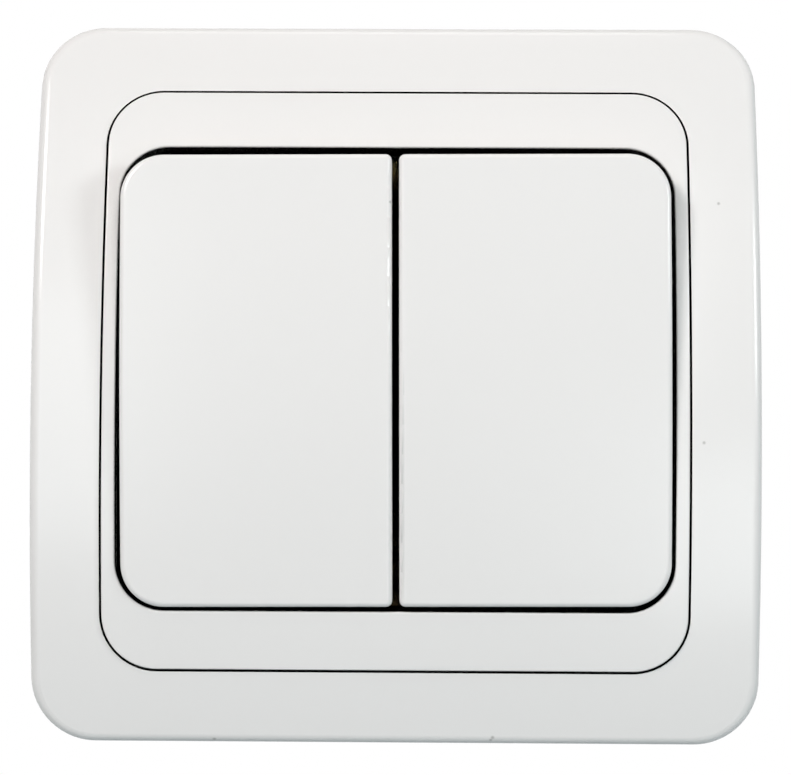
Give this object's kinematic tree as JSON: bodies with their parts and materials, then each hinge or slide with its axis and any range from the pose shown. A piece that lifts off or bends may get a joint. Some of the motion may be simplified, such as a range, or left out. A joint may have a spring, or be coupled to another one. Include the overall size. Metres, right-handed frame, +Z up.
{
  "type": "two-gang rocker light switch",
  "caption": "Square flush wall light switch with an arched glossy white cover frame, a separate insert and paired rocker keys on a box-mounted switching mechanism.",
  "frame": {"origin": "centre of the box-screw pattern on the wall plane, which is the back of the mounting plate", "axes": "+Z up along the wall, +X to the right as seen from the room, +Y out of the room into the wall box"},
  "size_m": [0.082, 0.0311, 0.082],
  "materials": {
    "white_gloss": "glossy moulded white",
    "base_plastic": "satin moulded black",
    "tumbler_plastic": "satin moulded dark grey",
    "plunger_plastic": "natural moulded polymer",
    "zinc_steel": "zinc-plated stamped steel",
    "yellow_steel": "yellow passivated steel",
    "bright_steel": "drawn bright steel",
    "contact_brass": "stamped brass",
    "silver": "silver contact metal"
  },
  "bodies": {
    "switch": {"cover_frame": "white_gloss", "insert": "white_gloss", "mounting_plate": "zinc_steel", "switch_base": "base_plastic", "axle": "bright_steel", "fixed_tips": "silver", "common_terminal": "contact_brass", "terminal_left": "contact_brass", "terminal_right": "contact_brass", "terminal_screws": "zinc_steel", "claw_screws": "yellow_steel", "insert_screws": "yellow_steel", "base_screws": "yellow_steel"},
    "key_left": {"rocker_left": "white_gloss", "tumbler_left": "tumbler_plastic", "plunger_left": "plunger_plastic", "spring_left": "bright_steel"},
    "key_right": {"rocker_right": "white_gloss", "tumbler_right": "tumbler_plastic", "plunger_right": "plunger_plastic", "spring_right": "bright_steel"},
    "contact_left": {"contact_arm_left": "contact_brass", "moving_tip_left": "silver"},
    "contact_right": {"contact_arm_right": "contact_brass", "moving_tip_right": "silver"},
    "claw_left": {"claw_left": "zinc_steel"},
    "claw_right": {"claw_right": "zinc_steel"}
  },
  "joints": [
    {"name": "key_left_rock", "type": "hinge", "parent": "switch", "child": "key_left", "pos_m": [-0.011, -0.0036, 0], "axis": [1, 0, 0], "range_deg": [-8, 0]},
    {"name": "key_right_rock", "type": "hinge", "parent": "switch", "child": "key_right", "pos_m": [0.011, -0.0036, 0], "axis": [1, 0, 0], "range_deg": [-8, 0]},
    {"name": "contact_left_rock", "type": "hinge", "parent": "switch", "child": "contact_left", "pos_m": [-0.011, 0.0115, 0], "axis": [1, 0, 0], "range_deg": [0, 16]},
    {"name": "contact_right_rock", "type": "hinge", "parent": "switch", "child": "contact_right", "pos_m": [0.011, 0.0115, 0], "axis": [1, 0, 0], "range_deg": [0, 16]},
    {"name": "claw_left_swing", "type": "hinge", "parent": "switch", "child": "claw_left", "pos_m": [-0.023, 0.0016, -0.009], "axis": [0, 0, 1], "range_deg": [0, 30]},
    {"name": "claw_right_swing", "type": "hinge", "parent": "switch", "child": "claw_right", "pos_m": [0.023, 0.0016, -0.009], "axis": [0, 0, -1], "range_deg": [0, 30]}
  ],
  "couplings": [
    {"joint": "contact_left_rock", "follows": "key_left_rock", "ratio": -2},
    {"joint": "contact_right_rock", "follows": "key_right_rock", "ratio": -2}
  ]
}
